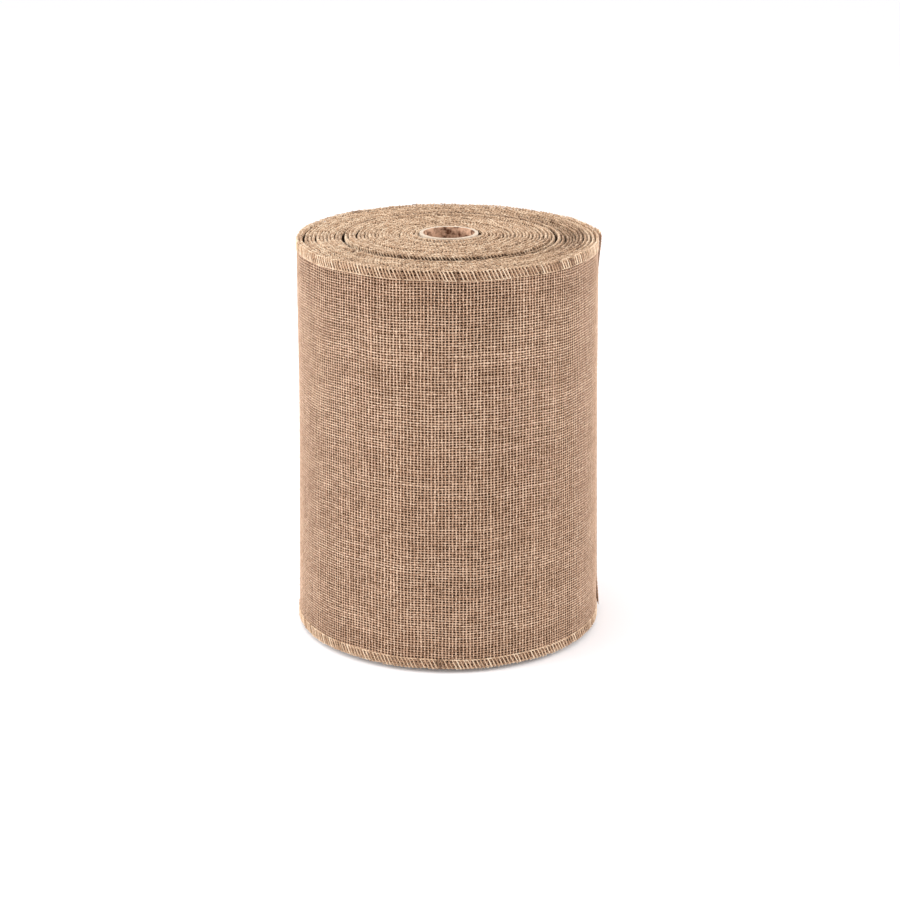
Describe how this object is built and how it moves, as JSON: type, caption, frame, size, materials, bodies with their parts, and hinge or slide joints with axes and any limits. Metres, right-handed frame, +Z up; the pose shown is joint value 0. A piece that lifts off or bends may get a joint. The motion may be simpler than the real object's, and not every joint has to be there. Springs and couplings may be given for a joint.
{
  "type": "ribbon roll",
  "caption": "Wide burlap ribbon with overlocked edges, wound on a paperboard core with no flanges and standing on end, with a free tail that peels open.",
  "frame": {"origin": "where the core's axis meets the plane that the roll stands on", "axes": "+Z up the core's axis; +X towards the tail's cut end, so that end shows at the right when looking along +Y"},
  "size_m": [0.2376, 0.2378, 0.308],
  "materials": {
    "burlap": "natural jute, plain weave, matte",
    "overlock_thread": "spun thread sewn over the edge, matte",
    "core_kraft": "reddish-brown kraft liner, spiral wound",
    "core_board": "pale board plies, cut rim",
    "core_wrap": "pale smooth wrap",
    "paper_tape": "creped paper tape"
  },
  "bodies": {
    "root": {"core_liner_ply": "core_kraft", "core_board_plies": "core_board", "core_outer_wrap": "core_wrap", "start_tape": "paper_tape", "inner_turns_cloth": "burlap", "inner_turns_upper_overlock": "overlock_thread", "inner_turns_lower_overlock": "overlock_thread", "outer_turns_cloth": "burlap", "outer_turns_upper_overlock": "overlock_thread", "outer_turns_lower_overlock": "overlock_thread"},
    "tail_1": {"tail_cloth_1": "burlap", "tail_upper_overlock_1": "overlock_thread", "tail_lower_overlock_1": "overlock_thread"},
    "tail_2": {"tail_cloth_2": "burlap", "tail_upper_overlock_2": "overlock_thread", "tail_lower_overlock_2": "overlock_thread"},
    "tail_3": {"tail_cloth_3": "burlap", "tail_upper_overlock_3": "overlock_thread", "tail_lower_overlock_3": "overlock_thread"},
    "tail_4": {"tail_cloth_4": "burlap", "tail_upper_overlock_4": "overlock_thread", "tail_lower_overlock_4": "overlock_thread"},
    "tail_5": {"tail_cloth_5": "burlap", "tail_upper_overlock_5": "overlock_thread", "tail_lower_overlock_5": "overlock_thread"}
  },
  "joints": [
    {"name": "tail_root_bend", "type": "hinge", "parent": "root", "child": "tail_1", "pos_m": [-0.00608, 0.11594, 0.1525], "axis": [0.001, -0.0196, 0.9998], "range_deg": [0, 60]},
    {"name": "tail_second_bend", "type": "hinge", "parent": "tail_1", "child": "tail_2", "pos_m": [0.03005, 0.11214, 0.1525], "axis": [-0.0051, -0.019, 0.9998], "range_deg": [0, 18]},
    {"name": "tail_third_bend", "type": "hinge", "parent": "tail_2", "child": "tail_3", "pos_m": [0.06323, 0.09737, 0.1525], "axis": [-0.0107, -0.0165, 0.9998], "range_deg": [0, 18]},
    {"name": "tail_fourth_bend", "type": "hinge", "parent": "tail_3", "child": "tail_4", "pos_m": [0.09023, 0.07306, 0.1525], "axis": [-0.0153, -0.0124, 0.9998], "range_deg": [0, 18]},
    {"name": "tail_end_bend", "type": "hinge", "parent": "tail_4", "child": "tail_5", "pos_m": [0.10839, 0.04161, 0.1525], "axis": [-0.0184, -0.007, 0.9998], "range_deg": [0, 18]}
  ],
  "couplings": [
    {"joint": "tail_second_bend", "follows": "tail_root_bend", "ratio": 0.3},
    {"joint": "tail_third_bend", "follows": "tail_root_bend", "ratio": 0.3},
    {"joint": "tail_fourth_bend", "follows": "tail_root_bend", "ratio": 0.3},
    {"joint": "tail_end_bend", "follows": "tail_root_bend", "ratio": 0.3}
  ]
}
